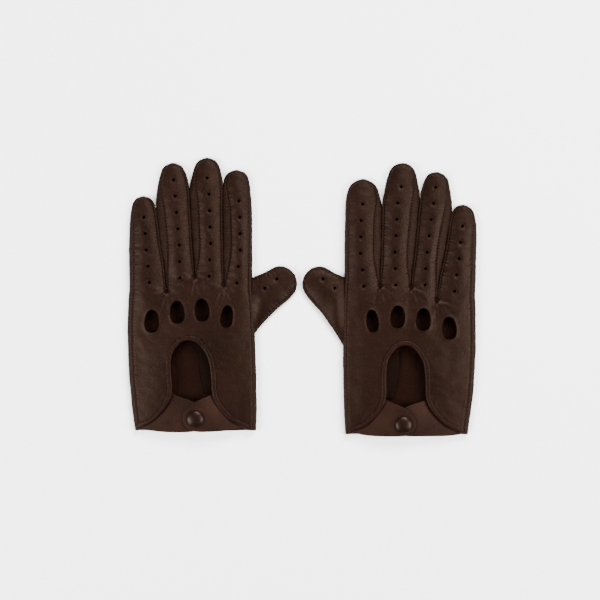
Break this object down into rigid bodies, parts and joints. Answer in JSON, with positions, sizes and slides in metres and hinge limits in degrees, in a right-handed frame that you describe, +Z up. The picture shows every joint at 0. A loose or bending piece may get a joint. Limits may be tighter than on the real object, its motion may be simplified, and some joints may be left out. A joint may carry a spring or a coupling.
{
  "type": "leather driving gloves",
  "caption": "Pair of unlined brown leather driving gloves with an open keyhole back, knuckle openings, vented fingers and a snap strap at each wrist.",
  "frame": {"origin": "on the resting surface, midway between the two gloves and midway along them", "axes": "+X across the pair from the left glove to the right glove, +Y towards the fingertips, +Z up from the palms to the backs"},
  "size_m": [0.2963, 0.2381, 0.015],
  "materials": {
    "back_leather": "soft unlined hairsheep leather, fine grain, low satin sheen, dark brown",
    "palm_leather": "soft unlined hairsheep leather, fine grain, low satin sheen, dark reddish brown",
    "fourchette_leather": "soft unlined hairsheep leather, fine grain, low satin sheen, dark brown",
    "binding_leather": "turned and topstitched edge of the same leather",
    "strap_leather": "doubled leather tab, satin, slightly lighter brown",
    "covered_cap": "domed press-stud cap in smooth glossy brown",
    "snap_metal": "antiqued brass press stud",
    "thread": "dark brown twisted sewing thread"
  },
  "bodies": {
    "right_hand": {"right_back_panel": "back_leather", "right_palm_panel": "palm_leather", "right_keyhole_binding": "binding_leather", "right_hem_thread": "thread", "right_palm_hem": "palm_leather", "right_thumb_gusset": "palm_leather", "right_stud_tab": "strap_leather", "right_snap_stud": "snap_metal", "right_snap_post": "snap_metal"},
    "left_hand": {"left_back_panel": "back_leather", "left_palm_panel": "palm_leather", "left_keyhole_binding": "binding_leather", "left_hem_thread": "thread", "left_palm_hem": "palm_leather", "left_thumb_gusset": "palm_leather", "left_stud_tab": "strap_leather", "left_snap_stud": "snap_metal", "left_snap_post": "snap_metal"},
    "right_strap": {"right_snap_tab": "strap_leather", "right_snap_cap": "covered_cap", "right_snap_socket": "snap_metal"},
    "right_thumb": {"right_thumb_palm": "palm_leather", "right_thumb_back": "back_leather"},
    "right_index": {"right_index_back": "back_leather", "right_index_palm": "palm_leather", "right_index_fourchette_little_side": "fourchette_leather"},
    "right_middle": {"right_middle_back": "back_leather", "right_middle_palm": "palm_leather", "right_middle_fourchette_thumb_side": "fourchette_leather", "right_middle_fourchette_little_side": "fourchette_leather"},
    "right_ring": {"right_ring_back": "back_leather", "right_ring_palm": "palm_leather", "right_ring_fourchette_thumb_side": "fourchette_leather", "right_ring_fourchette_little_side": "fourchette_leather"},
    "right_little": {"right_little_back": "back_leather", "right_little_palm": "palm_leather", "right_little_fourchette_thumb_side": "fourchette_leather"},
    "left_strap": {"left_snap_tab": "strap_leather", "left_snap_cap": "covered_cap", "left_snap_socket": "snap_metal"},
    "left_thumb": {"left_thumb_palm": "palm_leather", "left_thumb_back": "back_leather"},
    "left_index": {"left_index_back": "back_leather", "left_index_palm": "palm_leather", "left_index_fourchette_little_side": "fourchette_leather"},
    "left_middle": {"left_middle_back": "back_leather", "left_middle_palm": "palm_leather", "left_middle_fourchette_thumb_side": "fourchette_leather", "left_middle_fourchette_little_side": "fourchette_leather"},
    "left_ring": {"left_ring_back": "back_leather", "left_ring_palm": "palm_leather", "left_ring_fourchette_thumb_side": "fourchette_leather", "left_ring_fourchette_little_side": "fourchette_leather"},
    "left_little": {"left_little_back": "back_leather", "left_little_palm": "palm_leather", "left_little_fourchette_thumb_side": "fourchette_leather"}
  },
  "joints": [
    {"name": "right_index_bend", "type": "hinge", "parent": "right_hand", "child": "right_index", "pos_m": [0.0517, 0.014, 0.005], "axis": [-1, 0.0052, 0], "range_deg": [-40, 75]},
    {"name": "right_middle_bend", "type": "hinge", "parent": "right_hand", "child": "right_middle", "pos_m": [0.0803, 0.014, 0.005], "axis": [-0.9981, 0.061, 0], "range_deg": [-40, 75]},
    {"name": "right_ring_bend", "type": "hinge", "parent": "right_hand", "child": "right_ring", "pos_m": [0.105, 0.013, 0.005], "axis": [-0.993, 0.1184, 0], "range_deg": [-40, 75]},
    {"name": "right_little_bend", "type": "hinge", "parent": "right_hand", "child": "right_little", "pos_m": [0.1322, 0.0015, 0.005], "axis": [-0.9966, 0.0819, 0], "range_deg": [-40, 75]},
    {"name": "right_thumb_swing", "type": "hinge", "parent": "right_hand", "child": "right_thumb", "pos_m": [0.0308, -0.0115, 0.004], "axis": [0, -1, 0], "range_deg": [-40, 60]},
    {"name": "right_strap_open", "type": "hinge", "parent": "right_hand", "child": "right_strap", "pos_m": [0.07179, -0.10135, 0.0119], "axis": [-0.342, -0.9397, 0], "range_deg": [0, 150]},
    {"name": "left_index_bend", "type": "hinge", "parent": "left_hand", "child": "left_index", "pos_m": [-0.0546, 0.015, 0.005], "axis": [-0.9998, -0.0192, 0], "range_deg": [-40, 75]},
    {"name": "left_middle_bend", "type": "hinge", "parent": "left_hand", "child": "left_middle", "pos_m": [-0.0793, 0.022, 0.005], "axis": [-0.9997, -0.0227, 0], "range_deg": [-40, 75]},
    {"name": "left_ring_bend", "type": "hinge", "parent": "left_hand", "child": "left_ring", "pos_m": [-0.1044, 0.022, 0.005], "axis": [-0.9974, -0.0715, 0], "range_deg": [-40, 75]},
    {"name": "left_little_bend", "type": "hinge", "parent": "left_hand", "child": "left_little", "pos_m": [-0.1322, 0.009, 0.005], "axis": [-0.9986, -0.0523, 0], "range_deg": [-40, 75]},
    {"name": "left_thumb_swing", "type": "hinge", "parent": "left_hand", "child": "left_thumb", "pos_m": [-0.0376, -0.0065, 0.004], "axis": [0, 1, 0], "range_deg": [-40, 60]},
    {"name": "left_strap_open", "type": "hinge", "parent": "left_hand", "child": "left_strap", "pos_m": [-0.07649, -0.09805, 0.0119], "axis": [-0.342, 0.9397, 0], "range_deg": [0, 150]},
    {"name": "left_glove_lift", "type": "slide", "parent": "right_hand", "child": "left_hand", "axis": [0, 0, 1], "range_m": [0, 0.12]}
  ]
}
